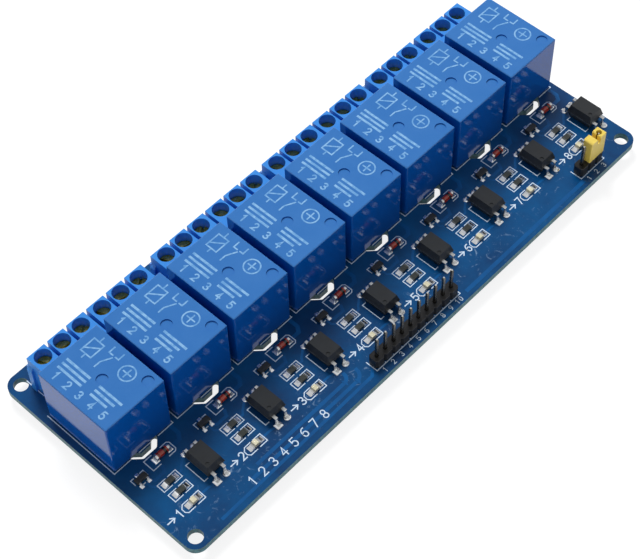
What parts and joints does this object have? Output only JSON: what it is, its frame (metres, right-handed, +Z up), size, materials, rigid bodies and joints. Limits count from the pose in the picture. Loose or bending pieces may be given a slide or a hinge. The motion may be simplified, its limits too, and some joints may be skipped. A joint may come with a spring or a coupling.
{
  "type": "relay module board",
  "caption": "Long printed circuit board with a row of sealed relays, screw terminals behind them, and a low-voltage side with optocouplers, lamps and pin headers.",
  "frame": {"origin": "under the middle of the board, level with the tips of the soldered pins that it rests on", "axes": "+X along the board, with the supply pins at the +X end; +Y from the input pins to the screw terminals; +Z up, out of the component side"},
  "size_m": [0.1376, 0.0556, 0.0193],
  "materials": {
    "board": "solder-masked laminate, glossy blue",
    "relay_plastic": "moulded blue, satin top, glossy sides",
    "relay_base_plastic": "sealing resin",
    "terminal_plastic": "moulded light blue, satin",
    "screw_brass": "plated brass, machined",
    "tinned_metal": "tinned, satin",
    "pin_metal": "tinned, bright",
    "solder": "smooth solder",
    "black_resin": "moulded black resin",
    "diode_glass": "red-brown glass",
    "resistor_coat": "dark glaze",
    "lamp_base": "white substrate",
    "lamp_lens": "clear cream resin",
    "header_plastic": "moulded black",
    "jumper_plastic": "moulded yellow"
  },
  "bodies": {
    "root": {"pcb": "board", "relay_cover_1": "relay_plastic", "relay_cover_2": "relay_plastic", "relay_cover_3": "relay_plastic", "relay_cover_4": "relay_plastic", "relay_cover_5": "relay_plastic", "relay_cover_6": "relay_plastic", "relay_cover_7": "relay_plastic", "relay_cover_8": "relay_plastic", "relay_bases": "relay_base_plastic", "relay_pins": "tinned_metal", "terminal_block_1": "terminal_plastic", "terminal_block_2": "terminal_plastic", "terminal_block_3": "terminal_plastic", "terminal_block_4": "terminal_plastic", "terminal_block_5": "terminal_plastic", "terminal_block_6": "terminal_plastic", "terminal_block_7": "terminal_plastic", "terminal_block_8": "terminal_plastic", "terminal_screws_1": "screw_brass", "terminal_screws_2": "screw_brass", "terminal_screws_3": "screw_brass", "terminal_screws_4": "screw_brass", "terminal_screws_5": "screw_brass", "terminal_screws_6": "screw_brass", "terminal_screws_7": "screw_brass", "terminal_screws_8": "screw_brass", "wire_clamps": "tinned_metal", "terminal_contacts": "tinned_metal", "opto_bodies": "black_resin", "opto_leads": "tinned_metal", "diode_glass": "diode_glass", "diode_caps": "tinned_metal", "transistor_bodies": "black_resin", "transistor_leads": "tinned_metal", "resistor_bodies": "resistor_coat", "resistor_ends": "tinned_metal", "lamp_bases": "lamp_base", "lamp_lenses": "lamp_lens", "lamp_ends": "tinned_metal", "input_header": "header_plastic", "input_pins": "pin_metal", "supply_header": "header_plastic", "supply_pins": "pin_metal", "jumper_cap": "jumper_plastic", "jumper_contact": "tinned_metal", "solder_joints": "solder"}
  },
  "joints": []
}
